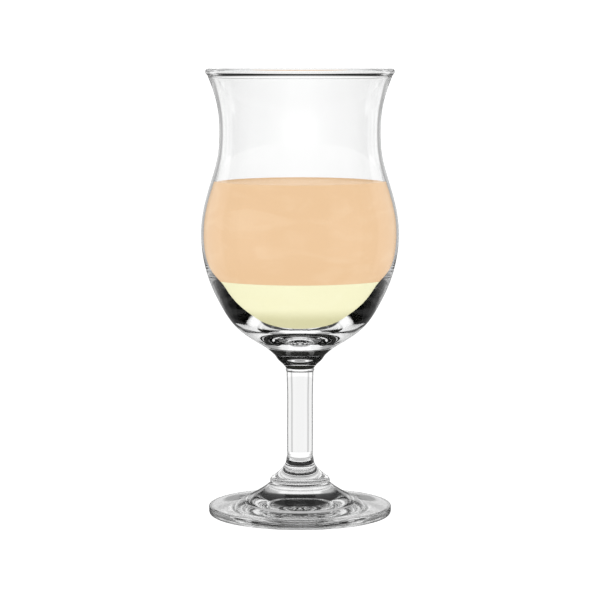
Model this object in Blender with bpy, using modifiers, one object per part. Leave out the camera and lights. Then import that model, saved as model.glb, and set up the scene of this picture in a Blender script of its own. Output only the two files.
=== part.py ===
"""A two-layer sour drink in its footed, tulip-shaped glass. Metres, +Z up.

The origin is the centre of the foot's underside, and +Z is the axis that everything is turned about.
"""

import math

import bpy
import numpy as np

# Driving dimensions, as (radius, height) where there are two.
SEGMENTS = 56
TOTAL_HEIGHT = 0.1788
FLUID_GAP = 0.0003

RIM_BEAD_RADIUS = 0.00115
RIM_BEAD_CENTRE = (0.03645, TOTAL_HEIGHT - RIM_BEAD_RADIUS)
RIM_BEAD_STEPS = 6

# Stations down the outside of the bowl, from the rim bead to the collar.
BOWL_OUTSIDE = (
    (0.0367, 0.1762),
    (0.0346, 0.1706),
    (0.0326, 0.1624),
    (0.03205, 0.1532),
    (0.0328, 0.1438),
    (0.0351, 0.1352),
    (0.0376, 0.1267),
    (0.0391, 0.1190),
    (0.03945, 0.1115),
    (0.0386, 0.1035),
    (0.0360, 0.0940),
    (0.0318, 0.0850),
    (0.0260, 0.0764),
    (0.0188, 0.0708),
    (0.0130, 0.0671),
    (0.0101, 0.0646),
)
BOWL_OUTSIDE_STEPS = 19

# Stations up the inside of the bowl, from its floor to the rim bead.
BOWL_INSIDE = (
    (0.0060, 0.07325),
    (0.0110, 0.0743),
    (0.0155, 0.07585),
    (0.0200, 0.0781),
    (0.0253, 0.0827),
    (0.0298, 0.0882),
    (0.0333, 0.0935),
    (0.0359, 0.0985),
    (0.0376, 0.1045),
    (0.03835, 0.1115),
    (0.0380, 0.1190),
    (0.0364, 0.1267),
    (0.0338, 0.1351),
    (0.0314, 0.1438),
    (0.0307, 0.1532),
    (0.0312, 0.1625),
    (0.0331, 0.1711),
    (0.0352, 0.1764),
)
BOWL_FLOOR_HEIGHT = 0.0729
BOWL_INSIDE_STEPS = 17

# Turned beads where the bowl meets the stem, and where the stem flares into the foot.
COLLAR = (
    (0.0098, 0.0641),
    (0.0094, 0.0637),
    (0.0088, 0.0627),
    (0.0074, 0.0614),
    (0.0061, 0.0600),
    (0.0058, 0.0590),
    (0.0055, 0.0583),
)
STEM_RADIUS = 0.0052
STEM_TOP = 0.0530
STEM_BOTTOM = 0.0245
FOOT_COLLAR = (
    (0.0054, 0.0234),
    (0.0055, 0.0222),
    (0.0058, 0.0207),
    (0.0068, 0.0191),
    (0.0085, 0.0173),
    (0.0108, 0.0154),
    (0.0118, 0.0145),
    (0.0120, 0.0133),
)

# The foot: a shallow dome that flattens out to a thick edge, hollowed a little underneath.
FOOT_RADIUS = 0.03665
FOOT_THICKNESS = 0.0039
DOME_TOP = (0.0124, 0.0126)
DOME_POWER = 2.2
DOME_STEPS = 8
FOOT_TOP_ROUNDING = 0.0007
FOOT_TOP_STEPS = 2
FOOT_BASE_ROUNDING = 0.0016
FOOT_BASE_STEPS = 3
REST_RING_INSIDE = 0.0205
HOLLOW_DEPTH = 0.0024
HOLLOW_STEPS = 4

# The drink: whisky and sugar over lemon, in two layers.
DRINK_TOP = 0.1343
LAYER_BORDER = 0.0960

GLASS_COLOUR = (0.96, 0.97, 0.97, 1.0)
WHISKY_COLOUR = (0.85, 0.58, 0.35, 1.0)
LEMON_COLOUR = (0.95, 0.92, 0.62, 1.0)


def smooth(stations, steps):
    """A natural cubic spline through the stations, by the distance along them, as steps + 1 points."""
    points = np.array(stations, dtype=float)
    gaps = np.linalg.norm(np.diff(points, axis=0), axis=1)
    along = np.concatenate([[0.0], np.cumsum(gaps)])
    count = len(points)
    system = np.eye(count)
    bends = np.zeros((count, 2))
    for i in range(1, count - 1):
        system[i, i - 1 : i + 2] = (gaps[i - 1], 2 * (gaps[i - 1] + gaps[i]), gaps[i])
        slope_after = (points[i + 1] - points[i]) / gaps[i]
        slope_before = (points[i] - points[i - 1]) / gaps[i - 1]
        bends[i] = 6 * (slope_after - slope_before)
    bends = np.linalg.solve(system, bends)
    found = []
    for distance in np.linspace(0.0, along[-1], steps + 1):
        i = int(np.clip(np.searchsorted(along, distance) - 1, 0, count - 2))
        gone = distance - along[i]
        left = gaps[i] - gone
        point = (bends[i] * left**3 + bends[i + 1] * gone**3) / (6 * gaps[i])
        point += (points[i] / gaps[i] - bends[i] * gaps[i] / 6) * left
        point += (points[i + 1] / gaps[i] - bends[i + 1] * gaps[i] / 6) * gone
        found.append(tuple(point))
    return found


def arc(centre, radius, start_deg, end_deg, steps):
    """Points on an arc, with 0 degrees outwards and 90 degrees up."""
    found = []
    for i in range(steps + 1):
        angle = math.radians(start_deg + (end_deg - start_deg) * i / steps)
        found.append((centre[0] + radius * math.cos(angle), centre[1] + radius * math.sin(angle)))
    return found


def inner_wall():
    """The bowl's inside, from the centre of its floor up to the rim bead."""
    return [(0.0, BOWL_FLOOR_HEIGHT)] + smooth(BOWL_INSIDE, BOWL_INSIDE_STEPS)


def foot_profile():
    """The foot, from the top of its dome round the edge to the centre of its underside."""
    top_centre = (FOOT_RADIUS - FOOT_TOP_ROUNDING, FOOT_THICKNESS - FOOT_TOP_ROUNDING)
    base_centre = (FOOT_RADIUS - FOOT_BASE_ROUNDING, FOOT_BASE_ROUNDING)
    edge = arc(top_centre, FOOT_TOP_ROUNDING, 90, 0, FOOT_TOP_STEPS)
    edge += arc(base_centre, FOOT_BASE_ROUNDING, 0, -90, FOOT_BASE_STEPS)
    dome = []
    drop = DOME_TOP[1] - FOOT_THICKNESS
    for i in range(DOME_STEPS):
        share = i / DOME_STEPS
        radius = DOME_TOP[0] + (top_centre[0] - DOME_TOP[0]) * share
        dome.append((radius, FOOT_THICKNESS + drop * (1 - share) ** DOME_POWER))
    hollow = []
    for i in range(HOLLOW_STEPS + 1):
        share = (i / HOLLOW_STEPS) ** 1.5
        lift = HOLLOW_DEPTH * math.sqrt(math.sin(share * math.pi / 2))
        hollow.append((REST_RING_INSIDE * (1 - share), lift))
    return dome + edge + hollow


def glass_profile():
    """The whole glass in section, from the centre of the bowl's floor to the centre of its underside."""
    bead = arc(RIM_BEAD_CENTRE, RIM_BEAD_RADIUS, 195, -30, RIM_BEAD_STEPS)
    outside = smooth(BOWL_OUTSIDE, BOWL_OUTSIDE_STEPS)
    stem = [(STEM_RADIUS, STEM_TOP), (STEM_RADIUS, STEM_BOTTOM)]
    return inner_wall() + bead + outside + list(COLLAR) + stem + list(FOOT_COLLAR) + foot_profile()


def fluid_profile(bottom, top):
    """A layer of drink in section, from the centre of its top, down its side, to the centre of its base."""
    wall = np.array(inner_wall())
    run = np.gradient(wall, axis=0)
    inward = np.column_stack([-run[:, 1], run[:, 0]]) / np.linalg.norm(run, axis=1)[:, None]
    side = wall + inward * FLUID_GAP
    side[0] = (0.0, wall[0, 1] + FLUID_GAP)
    low = max(bottom, side[0, 1])
    levels = [low] + [height for height in side[:, 1] if low < height < top] + [top]
    points = [(float(np.interp(height, side[:, 1], side[:, 0])), float(height)) for height in levels]
    base = [] if points[0][0] < FLUID_GAP else [(0.0, low)]
    return [(0.0, top)] + points[::-1] + base


def material(name, colour, roughness, transmission=0.0, ior=1.5):
    made = bpy.data.materials.new(name)
    made.use_nodes = True
    shader = made.node_tree.nodes["Principled BSDF"]
    shader.inputs["Base Color"].default_value = colour
    shader.inputs["Roughness"].default_value = roughness
    shader.inputs["Metallic"].default_value = 0.0
    shader.inputs["Transmission Weight"].default_value = transmission
    shader.inputs["IOR"].default_value = ior
    made.diffuse_color = colour
    return made


def turned(name, profile, finish, collection):
    """An object made by turning a section, given as (radius, height) points, about +Z."""
    mesh = bpy.data.meshes.new(name)
    edges = [(i, i + 1) for i in range(len(profile) - 1)]
    mesh.from_pydata([(radius, 0.0, height) for radius, height in profile], edges, [])
    mesh.materials.append(finish)
    made = bpy.data.objects.new(name, mesh)
    collection.objects.link(made)
    screw = made.modifiers.new("Turn", "SCREW")
    screw.axis = "Z"
    screw.angle = math.tau
    screw.steps = SEGMENTS
    screw.render_steps = SEGMENTS
    screw.use_merge_vertices = True
    screw.merge_threshold = 0.00001
    screw.use_smooth_shade = True
    return made


def clear_scene():
    for old in list(bpy.data.objects):
        bpy.data.objects.remove(old)


def main():
    clear_scene()
    bpy.context.scene.unit_settings.system = "METRIC"
    collection = bpy.data.collections.new("two_layer_sour")
    bpy.context.scene.collection.children.link(collection)
    glass = material("clear_glass", GLASS_COLOUR, 0.02, transmission=1.0)
    whisky = material("whisky_layer", WHISKY_COLOUR, 0.1, ior=1.36)
    lemon = material("lemon_layer", LEMON_COLOUR, 0.15, ior=1.35)
    turned("glass", glass_profile(), glass, collection)
    turned("whisky_layer", fluid_profile(LAYER_BORDER + FLUID_GAP / 2, DRINK_TOP), whisky, collection)
    turned("lemon_layer", fluid_profile(0.0, LAYER_BORDER - FLUID_GAP / 2), lemon, collection)


main()
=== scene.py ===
import math

import bpy
import numpy as np
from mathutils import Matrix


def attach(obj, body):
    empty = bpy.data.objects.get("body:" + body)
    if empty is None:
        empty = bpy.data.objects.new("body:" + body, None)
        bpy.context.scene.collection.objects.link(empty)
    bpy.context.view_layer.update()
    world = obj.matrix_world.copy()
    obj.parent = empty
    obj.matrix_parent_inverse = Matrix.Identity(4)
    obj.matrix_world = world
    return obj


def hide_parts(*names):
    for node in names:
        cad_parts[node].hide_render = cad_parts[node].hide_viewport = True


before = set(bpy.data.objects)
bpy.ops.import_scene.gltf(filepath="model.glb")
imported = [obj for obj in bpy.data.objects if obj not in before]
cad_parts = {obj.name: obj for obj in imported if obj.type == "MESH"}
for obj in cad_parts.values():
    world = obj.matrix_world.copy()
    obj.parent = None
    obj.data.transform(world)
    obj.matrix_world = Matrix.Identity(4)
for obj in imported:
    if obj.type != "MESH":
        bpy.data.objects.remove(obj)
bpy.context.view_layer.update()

# A sour in two layers, in its footed glass. Every piece is turned about +Z, which runs from the foot to
# the rim. Lengths are in metres, and a section is a list of (radius, height) points, measured from the
# centre of the foot's underside.

# The bowl: a rolled rim, and stations down its outside and up its inside.
TOTAL_HEIGHT = 0.1788
RIM_BEAD_RADIUS = 0.00115
RIM_BEAD_CENTRE = (0.03645, TOTAL_HEIGHT - RIM_BEAD_RADIUS)
RIM_BEAD_DEGREES = (195, -30)
BOWL_OUTSIDE = (
    (0.0367, 0.1762),
    (0.0346, 0.1706),
    (0.0326, 0.1624),
    (0.03205, 0.1532),
    (0.0328, 0.1438),
    (0.0351, 0.1352),
    (0.0376, 0.1267),
    (0.0391, 0.1190),
    (0.03945, 0.1115),
    (0.0386, 0.1035),
    (0.0360, 0.0940),
    (0.0318, 0.0850),
    (0.0260, 0.0764),
    (0.0188, 0.0708),
    (0.0130, 0.0671),
    (0.0101, 0.0646),
)
BOWL_INSIDE = (
    (0.0, 0.0729),
    (0.0030, 0.07294),
    (0.0060, 0.07325),
    (0.0110, 0.0743),
    (0.0155, 0.07585),
    (0.0200, 0.0781),
    (0.0253, 0.0827),
    (0.0298, 0.0882),
    (0.0333, 0.0935),
    (0.0359, 0.0985),
    (0.0376, 0.1045),
    (0.03835, 0.1115),
    (0.0380, 0.1190),
    (0.0364, 0.1267),
    (0.0338, 0.1351),
    (0.0314, 0.1438),
    (0.0307, 0.1532),
    (0.0312, 0.1625),
    (0.0331, 0.1711),
    (0.0352, 0.1764),
)

# Below the bowl: a collar, a fine bead, the stem, and the collar and bead that it stands in.
COLLAR = (
    (0.0098, 0.0641),
    (0.0095, 0.0637),
    (0.0088, 0.0627),
    (0.0074, 0.0614),
    (0.0061, 0.0600),
    (0.0057, 0.0594),
)
NECK_BEAD = (
    (0.00545, 0.0592),
    (0.0057, 0.0589),
    (0.00575, 0.0585),
    (0.0055, 0.0581),
    (0.0054, 0.0577),
)
STEM = (
    (0.00535, 0.0550),
    (0.0052, 0.0500),
    (0.0052, 0.0400),
    (0.0052, 0.0300),
    (0.00515, 0.0255),
    (0.0051, 0.0238),
)
FOOT_COLLAR = (
    (0.0054, 0.0230),
    (0.0055, 0.0220),
    (0.0058, 0.0207),
    (0.0068, 0.0191),
    (0.0085, 0.0173),
    (0.0108, 0.0154),
)
FOOT_BEAD = (
    (0.0113, 0.0151),
    (0.0118, 0.0145),
    (0.0120, 0.0139),
    (0.0120, 0.0134),
    (0.0119, 0.0130),
    (0.0119, 0.0127),
)

# The foot: a dome that flattens out to a thick edge, with a resting ring round a hollow underneath.
FOOT_RADIUS = 0.03665
FOOT_THICKNESS = 0.0039
DOME_TOP = (0.0122, 0.0126)
DOME_POWER = 2.2
FOOT_TOP_ROUNDING = 0.0007
FOOT_BASE_ROUNDING = 0.0016
REST_RING_INSIDE = 0.0205
HOLLOW_DEPTH = 0.0024

# The drink. Both layers reach a little into the glass, and the upper one curls up at its edge.
DRINK_TOP = 0.1343
LAYER_BORDER = 0.0960
LAYER_OVERLAP = 0.00005
WHISKY_REACH = 0.00015
LEMON_REACH = 0.00012
CURL_HEIGHT = 0.0006
CURL_WIDTH = 0.0030
CURL_POWER = 3
LEAST_RISE = 1e-9

# How finely the sections are drawn and turned.
INSIDE_STEPS = 110
RIM_BEAD_STEPS = 20
BELOW_RIM = ((BOWL_OUTSIDE, 100), (COLLAR, 14), (NECK_BEAD, 8), (STEM, 20), (FOOT_COLLAR, 16),
             (FOOT_BEAD, 10))
DOME_STEPS = 40
FOOT_TOP_STEPS = 8
FOOT_BASE_STEPS = 10
HOLLOW_STEPS = 32
HOLLOW_SPREAD = 1.5
SURFACE_STEPS = 11
CURL_STEPS = 13
GLASS_SEGMENTS = 256
DRINK_SEGMENTS = 192
ON_AXIS = 1e-7
SHARP_DEGREES = 50

# The glass: clear and fire-polished, with slow waves, and a foot that is a little less smooth.
WHITE = (1.0, 1.0, 1.0, 1.0)
GLASS_TINT = (0.996, 0.998, 0.997, 1.0)
GLASS_IOR = 1.5
SOFT_LIGHT_TINT = (0.97, 0.97, 0.97, 1.0)
WAVE_SIZE = 0.012
WAVE_DEPTH = 0.00001
WAVE_DETAIL = 2.0
WAVE_TWIST = 0.6
FOOT_ROUGHNESS = 0.06
FOOT_ROUGH_FROM = 0.0130
FOOT_ROUGH_FULL = 0.0124
FOOT_ROUGH_LEAST = 0.7
FOOT_ROUGH_SPAN = 0.6

# The layers. The lemon is given painted shade: it is darker towards its bottom, and near black in the
# middle of its base, where the thick glass under it is shaded.
DRINK_IOR = 1.34
WHISKY = {"Colour": (0.826, 0.561, 0.332, 1.0), "Swirl colour": (0.850, 0.594, 0.366, 1.0),
          "Painted bottom shade": WHITE, "Swirl size": 0.022, "Pulp": 0.05}
LEMON = {"Colour": (0.920, 0.895, 0.604, 1.0), "Swirl colour": (0.928, 0.905, 0.620, 1.0),
         "Painted bottom shade": (0.74, 0.73, 0.65, 1.0), "Swirl size": 0.016, "Pulp": 0.08}
# Painted shade: a near-black colour for the middle of the lemon's base.
LEMON_PAINTED_SHADE = {"Colour": (0.06, 0.06, 0.052, 1.0), "Swirl colour": (0.07, 0.07, 0.06, 1.0),
              "Painted bottom shade": WHITE, "Swirl size": 0.016, "Pulp": 0.08}
SHADED_BASE_RADIUS = 0.0165
SHADED_BASE_BELOW = 0.0860
# Painted shade: the layer's colour is darkened from the first of these heights down to the second.
PAINTED_SHADE_FROM = 0.0870
PAINTED_SHADE_FULL = 0.0815
SWIRL_FLATNESS = 2.6
SWIRL_DETAIL = 3.0
SWIRL_TWIST = 1.4
SWIRL_FROM = 0.42
SWIRL_FULL = 0.72
PULP_PER_METRE = 1400.0
PULP_DETAIL = 2.0
PULP_MIDDLE = 0.5
PULP_ROUGH_LEAST = 0.2
PULP_ROUGH_SPAN = 0.2
PULP_BUMP = 0.2
PULP_HEIGHT = 0.0001

# How the drink meets light: its open top shines a little, and its side mirrors light that comes at a low
# angle, as glass against air does. Light that was turned back before meets painted tones: a pale painted
# reflection on the top, and a near-black painted shade on the side after more than one bounce.
SURFACE_GLOSS = 0.12
SURFACE_ROUGHNESS = 0.03
BODY_ROUGHNESS = 0.3
TURN_BACK_POWER = 4.0
ONCE_MIRRORED = 0.5
FIRST_RAYS = 1.5
# Painted reflection: the pale grey that the drink's top shows in the glass's mirrors.
PAINTED_REFLECTION_COLOUR = (0.6, 0.59, 0.58, 1.0)
# Painted shade: the near black that the drink's side shows after more than one bounce.
LATE_PAINTED_SHADE = (0.02, 0.02, 0.018, 1.0)

# The camera, across the table and a little above it.
CAMERA_PLACE = (0.0, -0.996, 0.1883)
CAMERA_TILT_DEGREES = 5.83
LENS_MM = 150.0
SENSOR_MM = 36.0
BOUNCES = 32

# The floor: its brightness by distance from the glass, and by degrees round from the far side. The low
# greys near the glass are painted shadow and the low greys at the sides are painted shade; seen straight
# through the glass, the painted shadow is kept at half brightness or more.
ROOM_WHITE = 1.12
FLOOR_RADIUS = 0.14
FLOOR_HEIGHT = -0.0003
FLOOR_SEGMENTS = 96
FLOOR_GLOSS = 0.05
FLOOR_SHADOW_GREYS = ((0.0, 0.02), (0.020, 0.02), (0.024, 1.0), (0.036, 1.0), (0.040, 0.08), (0.060, 0.08),
               (0.065, 1.0), (0.14, 1.0))
FLOOR_SHADE_ROUND = ((0, 1.0), (38, 1.0), (66, 0.1), (112, 0.1), (165, 1.0), (180, 1.0))
STRAIGHT_SHADOW_LEAST = 0.5

# The studio's white cards, each as brightness by degrees up and by degrees round from the far side.
# The first set lights what comes straight through the glass, the second what the glass has turned back
# inside it, and the third what only glances off it.
STRAIGHT_CARDS = (
    (((-90, 0.96), (-13, 0.96), (-11, 0.83), (-4.8, 0.83), (-4.0, 0.96), (8, 0.96), (14, 0.03), (90, 0.03)),
     ((0, 1.0), (23, 1.0), (27, 0.6), (29, 0.6), (34, 1.0), (56, 1.0), (60, 0.05), (74, 0.05), (78, 1.0),
      (104, 1.0), (108, 0.05), (122, 0.05), (126, 1.0), (180, 1.0))),
)
TURNED_CARDS = (
    (((-90, 0.96), (6, 0.96), (9, 0.02), (90, 0.02)),
     ((0, 1.0), (13, 1.0), (16, 0.5), (29, 0.5), (33, 1.0), (50, 1.0), (56, 0.02), (130, 0.02),
      (165, 0.9), (180, 0.9))),
    (((-90, 0.0), (5, 0.0), (7, 0.96), (20, 0.96), (26, 0.0), (90, 0.0)),
     ((0, 0.0), (34, 0.0), (37, 1.0), (61, 1.0), (65, 0.0), (180, 0.0))),
    (((-90, 0.6), (90, 0.6)), ((0, 0.0), (125, 0.0), (165, 1.0), (180, 1.0))),
)
GLOSS_CARDS = (
    (((-90, 0.08), (-28, 0.08), (-14, 0.8), (12, 0.8), (25, 0.25), (40, 1.0), (90, 1.0)),
     ((0, 0.3), (30, 0.3), (42, 0.85), (74, 0.85), (80, 0.4), (100, 0.4), (106, 0.7),
      (138, 0.7), (150, 0.3), (180, 0.3))),
    (((-90, 0.0), (6, 0.0), (8, 1.0), (16, 1.0), (20, 0.0), (90, 0.0)),
     ((0, 1.0), (25, 1.0), (35, 0.0), (180, 0.0))),
)


def smooth(stations, steps):
    """A natural cubic spline through the stations, by the distance along them, as steps + 1 points."""
    points = np.array(stations, dtype=float)
    gaps = np.linalg.norm(np.diff(points, axis=0), axis=1)
    along = np.concatenate([[0.0], np.cumsum(gaps)])
    count = len(points)
    system = np.eye(count)
    bends = np.zeros((count, 2))
    for i in range(1, count - 1):
        system[i, i - 1 : i + 2] = (gaps[i - 1], 2 * (gaps[i - 1] + gaps[i]), gaps[i])
        slope_after = (points[i + 1] - points[i]) / gaps[i]
        slope_before = (points[i] - points[i - 1]) / gaps[i - 1]
        bends[i] = 6 * (slope_after - slope_before)
    bends = np.linalg.solve(system, bends)
    found = []
    for distance in np.linspace(0.0, along[-1], steps + 1):
        i = int(np.clip(np.searchsorted(along, distance) - 1, 0, count - 2))
        gone = distance - along[i]
        left = gaps[i] - gone
        point = (bends[i] * left**3 + bends[i + 1] * gone**3) / (6 * gaps[i])
        point += (points[i] / gaps[i] - bends[i] * gaps[i] / 6) * left
        point += (points[i + 1] / gaps[i] - bends[i + 1] * gaps[i] / 6) * gone
        found.append((float(point[0]), float(point[1])))
    return found


def arc(centre, radius, start_degrees, end_degrees, steps):
    """Points on an arc, with 0 degrees outwards and 90 degrees up."""
    angles = np.radians(np.linspace(start_degrees, end_degrees, steps + 1))
    return [(centre[0] + radius * math.cos(a), centre[1] + radius * math.sin(a)) for a in angles]


def foot_section():
    """The foot, from the top of its dome round the edge to the centre of its underside."""
    top_centre = (FOOT_RADIUS - FOOT_TOP_ROUNDING, FOOT_THICKNESS - FOOT_TOP_ROUNDING)
    base_centre = (FOOT_RADIUS - FOOT_BASE_ROUNDING, FOOT_BASE_ROUNDING)
    drop = DOME_TOP[1] - FOOT_THICKNESS
    dome = []
    for share in np.linspace(0.0, 1.0, DOME_STEPS, endpoint=False):
        radius = DOME_TOP[0] + (top_centre[0] - DOME_TOP[0]) * share
        dome.append((radius, FOOT_THICKNESS + drop * (1 - share) ** DOME_POWER))
    edge = arc(top_centre, FOOT_TOP_ROUNDING, 90, 0, FOOT_TOP_STEPS)
    edge += arc(base_centre, FOOT_BASE_ROUNDING, 0, -90, FOOT_BASE_STEPS)
    hollow = []
    for share in np.linspace(0.0, 1.0, HOLLOW_STEPS + 1) ** HOLLOW_SPREAD:
        lift = HOLLOW_DEPTH * math.sqrt(math.sin(share * math.pi / 2))
        hollow.append((REST_RING_INSIDE * (1 - share), lift))
    return dome + edge + hollow


def glass_section():
    """The whole glass, from the centre of the bowl's floor to the centre of its underside."""
    section = smooth(BOWL_INSIDE, INSIDE_STEPS)
    section += arc(RIM_BEAD_CENTRE, RIM_BEAD_RADIUS, *RIM_BEAD_DEGREES, RIM_BEAD_STEPS)
    for stations, steps in BELOW_RIM:
        section += smooth(stations, steps)
    return section + foot_section()


def wall_for_drink(reach):
    """The bowl's inside moved outwards into the wall, as radii and heights that rise."""
    wall = np.array(smooth(BOWL_INSIDE, INSIDE_STEPS))
    run = np.gradient(wall, axis=0)
    outward = np.column_stack([run[:, 1], -run[:, 0]]) / np.linalg.norm(run, axis=1)[:, None]
    side = wall + outward * reach
    side[0] = (0.0, wall[0, 1] - reach)
    return side[:, 0], np.maximum.accumulate(side[:, 1] + np.arange(len(side)) * LEAST_RISE)


def drink_section(bottom, top, reach, curl):
    """A layer, from the centre of its top, down its side, to the centre of its base."""
    radii, heights = wall_for_drink(reach)
    low = max(bottom, heights[0])
    levels = [low] + [h for h in heights if low < h < top] + [top]
    side = [(float(np.interp(h, heights, radii)), float(h)) for h in levels][::-1]
    edge = side[0][0]
    curl_start = edge - CURL_WIDTH
    surface = []
    for radius in np.concatenate([np.linspace(0.0, curl_start, SURFACE_STEPS + 1),
                                  np.linspace(curl_start, edge, CURL_STEPS + 1)[1:-1]]):
        near = max(0.0, 1 - (edge - radius) / CURL_WIDTH)
        surface.append((float(radius), top - curl + curl * near**CURL_POWER))
    inner_edge = side[-1][0]
    base = [] if inner_edge < ON_AXIS else [(inner_edge / 2, low), (0.0, low)]
    return surface + side + base


def side_rings(section):
    """For each ring of faces, 0 on the layer's open top and 1 on its side and base."""
    return [int(ring >= SURFACE_STEPS + CURL_STEPS) for ring in range(len(section) - 1)]


def shaded_base_rings(section):
    """For each ring of faces, 1 in the middle of the layer's base, which is painted near black as painted
    shade, and 0 elsewhere.
    """
    return [int(max(upper[0], lower[0]) < SHADED_BASE_RADIUS and min(upper[1], lower[1]) < SHADED_BASE_BELOW)
            for upper, lower in zip(section[:-1], section[1:])]


def turned(name, section, segments, finishes, rings=None):
    """A piece made by turning a section about +Z. The rings give each ring of faces its finish."""
    points = []
    rows = []
    for radius, height in section:
        if radius < ON_AXIS:
            rows.append([len(points)])
            points.append((0.0, 0.0, height))
            continue
        rows.append(list(range(len(points), len(points) + segments)))
        for k in range(segments):
            angle = math.tau * k / segments
            points.append((radius * math.cos(angle), radius * math.sin(angle), height))
    faces = []
    for upper, lower in zip(rows[:-1], rows[1:]):
        for k in range(segments):
            after = (k + 1) % segments
            if len(upper) == 1:
                faces.append((upper[0], lower[k], lower[after]))
            elif len(lower) == 1:
                faces.append((upper[k], lower[0], upper[after]))
            else:
                faces.append((upper[k], lower[k], lower[after], upper[after]))
    mesh = bpy.data.meshes.new(name)
    mesh.from_pydata(points, [], faces)
    for finish in finishes:
        mesh.materials.append(finish)
    if rings:
        mesh.polygons.foreach_set("material_index", [slot for slot in rings for _ in range(segments)])
    mesh.polygons.foreach_set("use_smooth", [True] * len(faces))
    mesh.update()
    mesh.set_sharp_from_angle(angle=math.radians(SHARP_DEGREES))
    made = bpy.data.objects.new(name, mesh)
    bpy.context.scene.collection.objects.link(made)
    return made


def empty_material(name):
    made = bpy.data.materials.new(name)
    made.use_nodes = True
    made.node_tree.nodes.clear()
    return made, made.node_tree.nodes, made.node_tree.links


def feed(links, socket, value):
    """Links an output to a socket, or sets a plain number or colour on it."""
    if isinstance(value, bpy.types.NodeSocket):
        links.new(value, socket)
    else:
        socket.default_value = value


def maths(nodes, links, kind, *values):
    made = nodes.new("ShaderNodeMath")
    made.operation = kind
    for socket, value in zip(made.inputs, values):
        feed(links, socket, value)
    return made.outputs[0]


def mixed(nodes, links, factor, first, second, kind="MIX"):
    """Two colours mixed."""
    made = nodes.new("ShaderNodeMix")
    made.data_type = "RGBA"
    made.blend_type = kind
    links.new(factor, made.inputs["Factor"])
    feed(links, made.inputs[6], first)
    feed(links, made.inputs[7], second)
    return made.outputs[2]


def blended(nodes, links, factor, first, second):
    """Two shaders mixed."""
    made = nodes.new("ShaderNodeMixShader")
    for socket, value in zip(made.inputs, (factor, first, second)):
        links.new(value, socket)
    return made.outputs[0]


def ramp(nodes, links, place, stops):
    """A brightness read from (place, brightness) stops."""
    made = nodes.new("ShaderNodeValToRGB")
    elements = made.color_ramp.elements
    elements[0].position, elements[-1].position = stops[0][0], stops[-1][0]
    elements[0].color = (stops[0][1],) * 3 + (1.0,)
    elements[-1].color = (stops[-1][1],) * 3 + (1.0,)
    for stop, grey in stops[1:-1]:
        elements.new(stop).color = (grey, grey, grey, 1.0)
    links.new(place, made.inputs[0])
    return made.outputs[0]


def soft_step(nodes, links, value, start, full):
    """0 on the start's side and 1 on the full side, with a soft step. The start may be the larger one."""
    made = nodes.new("ShaderNodeMapRange")
    made.interpolation_type = "SMOOTHSTEP"
    made.inputs["From Min"].default_value = start
    made.inputs["From Max"].default_value = full
    links.new(value, made.inputs["Value"])
    return made.outputs["Result"]


def noise(nodes, links, where, scale, detail, twist):
    """A soft random pattern. The scale is a number or an output to link."""
    made = nodes.new("ShaderNodeTexNoise")
    made.inputs["Detail"].default_value = detail
    made.inputs["Distortion"].default_value = twist
    links.new(where, made.inputs["Vector"])
    feed(links, made.inputs["Scale"], scale)
    return made.outputs["Fac"]


def place_parts(nodes, links, kind):
    """A point's place or direction, and its three parts."""
    where = nodes.new("ShaderNodeTexCoord").outputs[kind]
    parts = nodes.new("ShaderNodeSeparateXYZ")
    links.new(where, parts.inputs[0])
    return where, parts.outputs


def add_bump(nodes, links, height, strength, distance, body):
    bump = nodes.new("ShaderNodeBump")
    bump.inputs["Strength"].default_value = strength
    bump.inputs["Distance"].default_value = distance
    links.new(height, bump.inputs["Height"])
    links.new(bump.outputs["Normal"], body.inputs["Normal"])


def new_group(name, inputs, outputs):
    """An empty group of shader nodes. Each socket is given as (name, kind)."""
    group = bpy.data.node_groups.new(name, "ShaderNodeTree")
    kinds = {"value": "NodeSocketFloat", "colour": "NodeSocketColor"}
    for direction, sockets in (("INPUT", inputs), ("OUTPUT", outputs)):
        for label, kind in sockets:
            group.interface.new_socket(name=label, in_out=direction, socket_type=kinds[kind])
    return group, group.nodes.new("NodeGroupInput"), group.nodes.new("NodeGroupOutput")


def place_group(nodes, group, values):
    placed = nodes.new("ShaderNodeGroup")
    placed.node_tree = group
    for label, value in values.items():
        placed.inputs[label].default_value = value
    return placed


def fire_polish_group():
    """Glass from a mould and a flame: slow waves all over, and a foot that is a little less smooth."""
    group, given, put = new_group("fire_polish", [("Wave size", "value"), ("Foot roughness", "value")],
                                  [("Roughness", "value"), ("Height", "value")])
    nodes, links = group.nodes, group.links
    where, parts = place_parts(nodes, links, "Object")
    often = maths(nodes, links, "DIVIDE", 1.0, given.outputs["Wave size"])
    waves = noise(nodes, links, where, often, WAVE_DETAIL, WAVE_TWIST)
    low = soft_step(nodes, links, parts[2], FOOT_ROUGH_FROM, FOOT_ROUGH_FULL)
    uneven = maths(nodes, links, "MULTIPLY_ADD", waves, FOOT_ROUGH_SPAN, FOOT_ROUGH_LEAST)
    rough = maths(nodes, links, "MULTIPLY", low, given.outputs["Foot roughness"])
    links.new(maths(nodes, links, "MULTIPLY", rough, uneven), put.inputs["Roughness"])
    links.new(waves, put.inputs["Height"])
    return group


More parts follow.
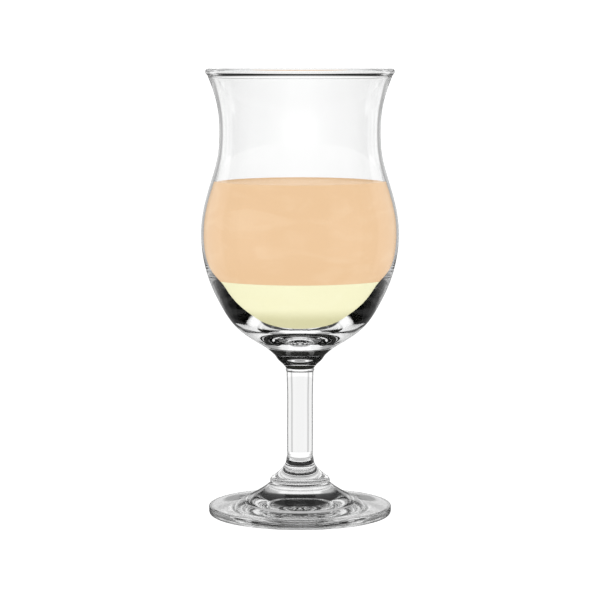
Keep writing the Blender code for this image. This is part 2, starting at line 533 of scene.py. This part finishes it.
def cloudy_group():
    """Strained juice and syrup: slow swirls, fine pulp, and a painted shade that makes it darker towards
    the bottom.
    """
    group, given, put = new_group(
        "cloudy_drink",
        [("Colour", "colour"), ("Swirl colour", "colour"), ("Painted bottom shade", "colour"), ("Swirl size", "value"),
         ("Pulp", "value")],
        [("Colour", "colour"), ("Roughness", "value"), ("Height", "value")])
    nodes, links = group.nodes, group.links
    where, parts = place_parts(nodes, links, "Object")
    flat = nodes.new("ShaderNodeMapping")
    flat.inputs["Scale"].default_value = (1.0, 1.0, SWIRL_FLATNESS)
    links.new(where, flat.inputs["Vector"])
    often = maths(nodes, links, "DIVIDE", 1.0, given.outputs["Swirl size"])
    slow = noise(nodes, links, flat.outputs[0], often, SWIRL_DETAIL, SWIRL_TWIST)
    swirls = soft_step(nodes, links, slow, SWIRL_FROM, SWIRL_FULL)
    tinted = mixed(nodes, links, swirls, given.outputs["Colour"], given.outputs["Swirl colour"])
    pulp = noise(nodes, links, where, PULP_PER_METRE, PULP_DETAIL, 0.0)
    uneven = maths(nodes, links, "SUBTRACT", pulp, PULP_MIDDLE)
    grain = maths(nodes, links, "MULTIPLY", uneven, given.outputs["Pulp"])
    grained = nodes.new("ShaderNodeVectorMath")
    grained.operation = "SCALE"
    links.new(tinted, grained.inputs[0])
    links.new(maths(nodes, links, "ADD", grain, 1.0), grained.inputs["Scale"])
    # Painted shade: the colour is multiplied by the tint towards the bottom.
    low = soft_step(nodes, links, parts[2], PAINTED_SHADE_FROM, PAINTED_SHADE_FULL)
    colour = mixed(nodes, links, low, grained.outputs[0], given.outputs["Painted bottom shade"], "MULTIPLY")
    rough = maths(nodes, links, "MULTIPLY_ADD", pulp, PULP_ROUGH_SPAN, PULP_ROUGH_LEAST)
    links.new(colour, put.inputs["Colour"])
    links.new(rough, put.inputs["Roughness"])
    links.new(pulp, put.inputs["Height"])
    return group


def was_mirrored(nodes, links, path):
    """1 for light that has been turned back at least once, 0 for light that comes straight through."""
    return maths(nodes, links, "GREATER_THAN", path.outputs["Glossy Depth"], ONCE_MIRRORED)


def glass_finish(fire_polish):
    """Clear glass, which soft light and shadows pass through without being bent."""
    made, nodes, links = empty_material("clear_glass")
    output = nodes.new("ShaderNodeOutputMaterial")
    body = nodes.new("ShaderNodeBsdfPrincipled")
    body.inputs["Base Color"].default_value = GLASS_TINT
    body.inputs["Metallic"].default_value = 0.0
    body.inputs["Transmission Weight"].default_value = 1.0
    body.inputs["IOR"].default_value = GLASS_IOR
    polish = place_group(nodes, fire_polish, {"Wave size": WAVE_SIZE, "Foot roughness": FOOT_ROUGHNESS})
    links.new(polish.outputs["Roughness"], body.inputs["Roughness"])
    add_bump(nodes, links, polish.outputs["Height"], 1.0, WAVE_DEPTH, body)
    through = nodes.new("ShaderNodeBsdfTransparent")
    through.inputs["Color"].default_value = SOFT_LIGHT_TINT
    path = nodes.new("ShaderNodeLightPath")
    soft = maths(nodes, links, "MAXIMUM", path.outputs["Is Shadow Ray"], path.outputs["Is Diffuse Ray"])
    links.new(blended(nodes, links, soft, body.outputs[0], through.outputs[0]), output.inputs["Surface"])
    return made


def liquid(nodes, colour):
    """A drink's plain body. Its gloss comes from the mirrors that are blended with it."""
    body = nodes.new("ShaderNodeBsdfPrincipled")
    body.inputs["Base Color"].default_value = colour
    body.inputs["Roughness"].default_value = BODY_ROUGHNESS
    body.inputs["IOR"].default_value = DRINK_IOR
    body.inputs["Specular IOR Level"].default_value = 0.0
    return body


def clouded(nodes, links, cloudy, values):
    """A layer's own body, with its swirls and pulp."""
    body = liquid(nodes, values["Colour"])
    cloud = place_group(nodes, cloudy, values)
    links.new(cloud.outputs["Colour"], body.inputs["Base Color"])
    links.new(cloud.outputs["Roughness"], body.inputs["Roughness"])
    add_bump(nodes, links, cloud.outputs["Height"], PULP_BUMP, PULP_HEIGHT, body)
    return body


def mirror(nodes, roughness):
    made = nodes.new("ShaderNodeBsdfAnisotropic")
    made.inputs["Roughness"].default_value = roughness
    made.inputs["Color"].default_value = WHITE
    return made


def share_turned_back(nodes, ior):
    """The share of light that a surface mirrors, which rises as the light comes lower."""
    made = nodes.new("ShaderNodeFresnel")
    made.inputs["IOR"].default_value = ior
    return made.outputs[0]


def drink_surface(name, cloudy, values):
    """The open surface of the drink, with a soft gloss. In what the glass mirrors it is painted pale grey,
    as a painted reflection.
    """
    made, nodes, links = empty_material(name)
    output = nodes.new("ShaderNodeOutputMaterial")
    body = clouded(nodes, links, cloudy, values)
    # Painted reflection: a pale grey body for light that the glass has turned back.
    painted_reflection = liquid(nodes, PAINTED_REFLECTION_COLOUR)
    path = nodes.new("ShaderNodeLightPath")
    late = was_mirrored(nodes, links, path)
    seen = blended(nodes, links, late, body.outputs[0], painted_reflection.outputs[0])
    gloss = mirror(nodes, SURFACE_ROUGHNESS)
    share = maths(nodes, links, "MINIMUM", share_turned_back(nodes, DRINK_IOR), SURFACE_GLOSS)
    links.new(blended(nodes, links, share, seen, gloss.outputs[0]), output.inputs["Surface"])
    return made


def drink_side(name, cloudy, values):
    """The drink against the glass. Light that meets it at a low angle is turned back into the wall. What
    reaches it after more than one bounce is painted near black, as painted shade.
    """
    made, nodes, links = empty_material(name)
    output = nodes.new("ShaderNodeOutputMaterial")
    body = clouded(nodes, links, cloudy, values)
    # Painted shade: a near-black body for light that has bounced more than once.
    painted_shade = liquid(nodes, LATE_PAINTED_SHADE)
    path = nodes.new("ShaderNodeLightPath")
    late = maths(nodes, links, "GREATER_THAN", path.outputs["Ray Depth"], FIRST_RAYS)
    seen = blended(nodes, links, late, body.outputs[0], painted_shade.outputs[0])
    wall = mirror(nodes, 0.0)
    share = maths(nodes, links, "POWER", share_turned_back(nodes, 1 / GLASS_IOR), TURN_BACK_POWER)
    links.new(blended(nodes, links, share, seen, wall.outputs[0]), output.inputs["Surface"])
    return made


def add_camera():
    data = bpy.data.cameras.new("camera")
    data.lens = LENS_MM
    data.sensor_width = SENSOR_MM
    camera = bpy.data.objects.new("camera", data)
    camera.location = CAMERA_PLACE
    camera.rotation_euler = (math.radians(90 - CAMERA_TILT_DEGREES), 0.0, 0.0)
    bpy.context.scene.collection.objects.link(camera)
    bpy.context.scene.camera = camera


def turn_of(nodes, links, parts):
    """How far round a direction is: 0 on the far side of the studio, 1 on the camera's side."""
    side = maths(nodes, links, "ABSOLUTE", parts[0])
    return maths(nodes, links, "DIVIDE", maths(nodes, links, "ARCTAN2", side, parts[1]), math.pi)


def height_of(nodes, links, parts):
    """How high a direction points: 0 straight down, 0.5 level and 1 straight up."""
    rise = maths(nodes, links, "ARCSINE", parts[2])
    return maths(nodes, links, "MULTIPLY_ADD", rise, 1 / math.pi, 0.5)


def round_ramp(nodes, links, turn, stops):
    """A brightness by degrees round from the far side, the same to the left and to the right."""
    return ramp(nodes, links, turn, [(degrees / 180, grey) for degrees, grey in stops])


def height_ramp(nodes, links, height, stops):
    """A brightness by degrees up from level."""
    return ramp(nodes, links, height, [(degrees / 180 + 0.5, grey) for degrees, grey in stops])


def plain_white(nodes, links, path):
    """1 for what the camera sees of the studio itself and for soft light, which are plain white."""
    return maths(nodes, links, "MAXIMUM", path.outputs["Is Camera Ray"], path.outputs["Is Diffuse Ray"])


def add_floor():
    """A plain white floor, which shows a painted shadow near the glass and a painted shade at its sides
    only through the glass and in its gloss.
    """
    made, nodes, links = empty_material("studio_floor")
    output = nodes.new("ShaderNodeOutputMaterial")
    light = nodes.new("ShaderNodeEmission")
    path = nodes.new("ShaderNodeLightPath")
    where, parts = place_parts(nodes, links, "Object")
    apart = nodes.new("ShaderNodeVectorMath")
    apart.operation = "LENGTH"
    links.new(where, apart.inputs[0])
    span = maths(nodes, links, "DIVIDE", apart.outputs["Value"], FLOOR_RADIUS)
    near = ramp(nodes, links, span, [(radius / FLOOR_RADIUS, grey) for radius, grey in FLOOR_SHADOW_GREYS])
    around = round_ramp(nodes, links, turn_of(nodes, links, parts), FLOOR_SHADE_ROUND)
    # Painted shadow near the glass, times painted shade at the sides.
    painted_shadow = maths(nodes, links, "MULTIPLY", near, around)
    straight = maths(nodes, links, "MAXIMUM", painted_shadow, STRAIGHT_SHADOW_LEAST)
    shown = mixed(nodes, links, was_mirrored(nodes, links, path), straight, painted_shadow)
    share = maths(nodes, links, "MULTIPLY_ADD", path.outputs["Is Transmission Ray"],
                  1 - FLOOR_GLOSS, FLOOR_GLOSS)
    dimmed = maths(nodes, links, "MULTIPLY", shown, share)
    colour = mixed(nodes, links, plain_white(nodes, links, path), dimmed, WHITE)
    links.new(colour, light.inputs["Color"])
    light.inputs["Strength"].default_value = ROOM_WHITE
    made.cycles.emission_sampling = "NONE"
    links.new(light.outputs[0], output.inputs["Surface"])
    section = [(0.0, FLOOR_HEIGHT), (FLOOR_RADIUS, FLOOR_HEIGHT)]
    turned("floor", section, FLOOR_SEGMENTS, [made])


def add_light():
    """A plain white studio, which shows its cards only through the glass and in its gloss."""
    world = bpy.data.worlds.new("studio")
    bpy.context.scene.world = world
    world.use_nodes = True
    world.cycles.sampling_method = "NONE"
    nodes, links = world.node_tree.nodes, world.node_tree.links
    path = nodes.new("ShaderNodeLightPath")
    _, parts = place_parts(nodes, links, "Generated")
    turn = turn_of(nodes, links, parts)
    height = height_of(nodes, links, parts)
    lit = []
    for cards in (STRAIGHT_CARDS, TURNED_CARDS, GLOSS_CARDS):
        brightest = 0.0
        for up_stops, round_stops in cards:
            up = height_ramp(nodes, links, height, up_stops)
            around = round_ramp(nodes, links, turn, round_stops)
            card = maths(nodes, links, "MULTIPLY", up, around)
            brightest = maths(nodes, links, "MAXIMUM", card, brightest)
        lit.append(brightest)
    straight, turned_back, glanced = lit
    through = mixed(nodes, links, was_mirrored(nodes, links, path), straight, turned_back)
    room = mixed(nodes, links, path.outputs["Is Transmission Ray"], glanced, through)
    colour = mixed(nodes, links, plain_white(nodes, links, path), room, WHITE)
    back = nodes["Background"]
    links.new(colour, back.inputs["Color"])
    back.inputs["Strength"].default_value = ROOM_WHITE


bpy.context.scene.view_settings.view_transform = "Standard"
bpy.context.scene.cycles.max_bounces = BOUNCES
bpy.context.scene.cycles.glossy_bounces = BOUNCES
bpy.context.scene.cycles.transmission_bounces = BOUNCES
add_camera()
add_floor()
add_light()

glass = turned("glass_visual", glass_section(), GLASS_SEGMENTS, [glass_finish(fire_polish_group())])
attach(glass, "root")
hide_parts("glass")

cloudy = cloudy_group()
upper_layer = drink_section(LAYER_BORDER, DRINK_TOP, WHISKY_REACH, CURL_HEIGHT)
whisky = turned("whisky_visual", upper_layer, DRINK_SEGMENTS,
                [drink_surface("whisky_surface", cloudy, WHISKY),
                 drink_side("whisky_side", cloudy, WHISKY)],
                side_rings(upper_layer))
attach(whisky, "root")
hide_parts("whisky_layer")

lower_layer = drink_section(0.0, LAYER_BORDER + LAYER_OVERLAP, LEMON_REACH, 0.0)
lemon = turned("lemon_visual", lower_layer, DRINK_SEGMENTS,
               [drink_side("lemon_side", cloudy, LEMON),
                # The middle of the base gets the near-black painted shade.
                drink_side("lemon_painted_shade", cloudy, LEMON_PAINTED_SHADE)],
               shaded_base_rings(lower_layer))
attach(lemon, "root")
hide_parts("lemon_layer")
